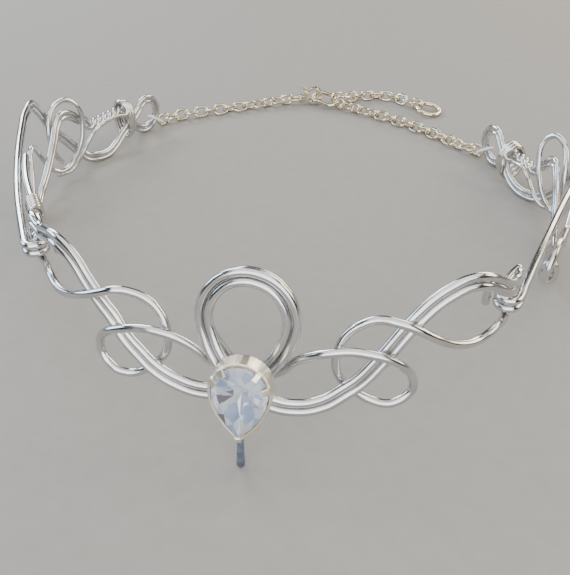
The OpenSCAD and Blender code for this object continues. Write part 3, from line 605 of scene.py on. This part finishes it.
# %% Cast pieces
POST_TOP = 12.6 * MM
SMOOTHING = 0.5
KEPT_FACES = 0.5


def cast_copy(name, node, voxel, smoothing):
    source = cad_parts[node]
    mesh = source.data.copy()
    shell = bmesh.new()
    shell.from_mesh(mesh)
    bmesh.ops.remove_doubles(shell, verts=shell.verts, dist=SAME_POINT)
    shell.to_mesh(mesh)
    shell.free()
    work = bpy.data.objects.new(name + "_work", mesh)
    bpy.context.scene.collection.objects.link(work)
    remesh = work.modifiers.new("remesh", "REMESH")
    remesh.mode = "VOXEL"
    remesh.voxel_size = voxel
    smooth = work.modifiers.new("smooth", "SMOOTH")
    smooth.factor = SMOOTHING
    smooth.iterations = smoothing
    fewer = work.modifiers.new("fewer", "DECIMATE")
    fewer.ratio = KEPT_FACES
    bpy.context.view_layer.update()
    made = bpy.data.meshes.new_from_object(work.evaluated_get(bpy.context.evaluated_depsgraph_get()))
    bpy.data.objects.remove(work)
    made.name = name
    made.materials.clear()
    made.materials.append(chain_plate if node.startswith("clasp") else setting_plate)
    if node == "setting":
        # The post below the cup takes the colour with painted shade and a painted blue reflection.
        made.materials.append(post_painted_shade_and_reflection)
        for face in made.polygons:
            face.material_index = int(face.center.z < POST_TOP)
    made.shade_smooth()
    piece = bpy.data.objects.new(name, made)
    bpy.context.scene.collection.objects.link(piece)
    return piece


belongs(cast_copy("clasp_body_cast", "clasp_body", 0.1 * MM, 6), "tiara", "clasp", "clasp_body")
belongs(cast_copy("clasp_lever_cast", "clasp_lever", 0.08 * MM, 4), "lever", "clasp", "clasp_lever")
belongs(cast_copy("setting_cast", "setting", 0.1 * MM, 6), "tiara", "setting", "setting")

# %% [markdown]
# The stone is a pear-cut crystal: clear glass with flat facets, and a silver foil behind,
# which sends the light back. Glass alone would let us see the setting through it and look
# grey. A real foil mirrors the room in a different way at each facet. Here each facet of
# the foil is given a painted reflection instead, a colour of its own from a grey through
# blues to white, and the glass in front bends them into a sparkle.

# %% Crystal and foil finishes
crystal, tree, shader = new_finish("faceted_crystal", Roughness=0.0, IOR=1.56, Transmission_Weight=1.0)
place = add(tree, "ShaderNodeTexCoord")
cloud = add(tree, "ShaderNodeTexNoise", {"Vector": place.outputs["Object"], "Scale": 150.0})
tint = blend(tree, cloud.outputs["Fac"], "#FFFFFF", "#F1F6FF")
tree.links.new(tint.outputs[2], shader.inputs["Base Color"])

foil, tree, shader = new_finish("foil_with_painted_reflections", Metallic=0.3, Roughness=0.05)
tone_and_painted_reflection = add(tree, "ShaderNodeAttribute", attribute_name="tone_and_painted_reflection")
tint = add(tree, "ShaderNodeValToRGB", {"Fac": tone_and_painted_reflection.outputs["Fac"]})
tint.color_ramp.interpolation = "CONSTANT"
# Colours of the painted reflections on the foil, one picked for each facet.
FOIL_PAINTED_REFLECTIONS = ((0.0, "#93868E"), (0.08, "#C4D3EE"), (0.26, "#FFFFFF"), (0.58, "#E4F1FF"), (0.76, "#FFFFFB"))
for spot, code in FOIL_PAINTED_REFLECTIONS:
    mark = tint.color_ramp.elements[0] if spot == 0 else tint.color_ramp.elements.new(spot)
    mark.position, mark.color = spot, linear(code)
tree.links.new(tint.outputs["Color"], shader.inputs["Base Color"])

# %% [markdown]
# The stone's own directions are known from how the front panel leans: 14 degrees back and
# turned by 4.6. Measured along them, the solid's box gives the middle of the stone. Glass
# and foil are the outer shell of rings of points. From the front they are the table, a
# ring between table and edge, the edge twice, three rings behind it and the point at the
# back. The facets shrink towards the heart, which lies a little above the middle.

# %% Cut stone
lean, turn = math.radians(14), math.radians(4.6)
stone_right = Vector((math.cos(turn), -math.sin(turn), 0))
ahead = Vector((math.sin(turn), math.cos(turn), 0))
stone_up = Vector((0, 0, math.cos(lean))) + ahead * math.sin(lean)
stone_out = stone_right.cross(stone_up)
corners = [v.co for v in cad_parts["stone"].data.vertices]
stone_axes = (stone_right, stone_up, stone_out)
low, high = [[pick(v.dot(axis) for v in corners) for axis in stone_axes] for pick in (min, max)]
stone_w, stone_l, stone_depth = [b - a for a, b in zip(low, high)]
crown = 1 * MM
heart = Vector((0, 1.2 * MM))
foil_from = 0.05 * MM
centre = stone_right * (low[0] + high[0]) / 2 + stone_up * (low[1] + high[1]) / 2 + (
    stone_out * (high[2] - crown))
print("stone in millimetres:", [round(v / MM, 2) for v in (stone_w, stone_l, stone_depth)])


def pear_point(part, scale):
    """A point of the pear's outline, a part of the way round, drawn in to its heart by scale."""
    r, reach = stone_w / 2, stone_l - stone_w / 2
    middle = stone_l / 2 - r
    part %= 1
    if part <= 0.5:
        angle = 2 * math.pi * part
        p = Vector((r * math.cos(angle), middle + r * math.sin(angle)))
    else:
        f = 4 * (part - 0.5) if part < 0.75 else 4 * (1 - part)
        side = -1 if part < 0.75 else 1
        p = Vector((side * r * (1 - f * f), middle - reach * f))
    return heart + (p - heart) * scale


def on_stone(flat, out):
    return centre + stone_right * flat.x + stone_up * flat.y + stone_out * out


# Step through the painted reflections, so that neighbouring facets get different ones.
PAINTED_REFLECTION_STEP = 0.618
FLAT_ANGLE = math.radians(1.5)


def facets(name, rings):
    shell = bmesh.new()
    for count, offset, scale, out in rings:
        for k in range(count):
            shell.verts.new(on_stone(pear_point((k + offset) / count, scale), out))
    bmesh.ops.convex_hull(shell, input=shell.verts)
    loose = [v for v in shell.verts if not v.link_faces]
    bmesh.ops.delete(shell, geom=loose, context="VERTS")
    bmesh.ops.dissolve_limit(shell, angle_limit=FLAT_ANGLE, verts=shell.verts, edges=shell.edges)
    bmesh.ops.recalc_face_normals(shell, faces=shell.faces)
    mesh = bpy.data.meshes.new(name)
    mesh.materials.append(crystal)
    mesh.materials.append(foil)
    foil_limit = centre.dot(stone_out) - foil_from
    for face in shell.faces:
        face.material_index = int(face.calc_center_median().dot(stone_out) < foil_limit)
    shell.to_mesh(mesh)
    shell.free()
    # Each foil facet is given a painted reflection of its own.
    painted_reflections = mesh.attributes.new("tone_and_painted_reflection", "FLOAT", "FACE").data
    for i, tone_and_painted_reflection in enumerate(painted_reflections):
        tone_and_painted_reflection.value = i * PAINTED_REFLECTION_STEP % 1
    piece = bpy.data.objects.new(name, mesh)
    bpy.context.scene.collection.objects.link(piece)
    return piece


stone_back = crown - stone_depth
stone = facets("stone_cut", [
    (8, 0, 0.56, crown), (8, 0.5, 0.8, crown * 0.62),
    (16, 0, 0.995, 0.12 * MM), (16, 0, 0.995, -0.1 * MM),
    (16, 0.5, 0.78, stone_back * 0.36), (8, 0, 0.52, stone_back * 0.62),
    (8, 0.5, 0.27, stone_back * 0.84), (1, 0, 0, stone_back)])
belongs(stone, "tiara", "stone", "stone")
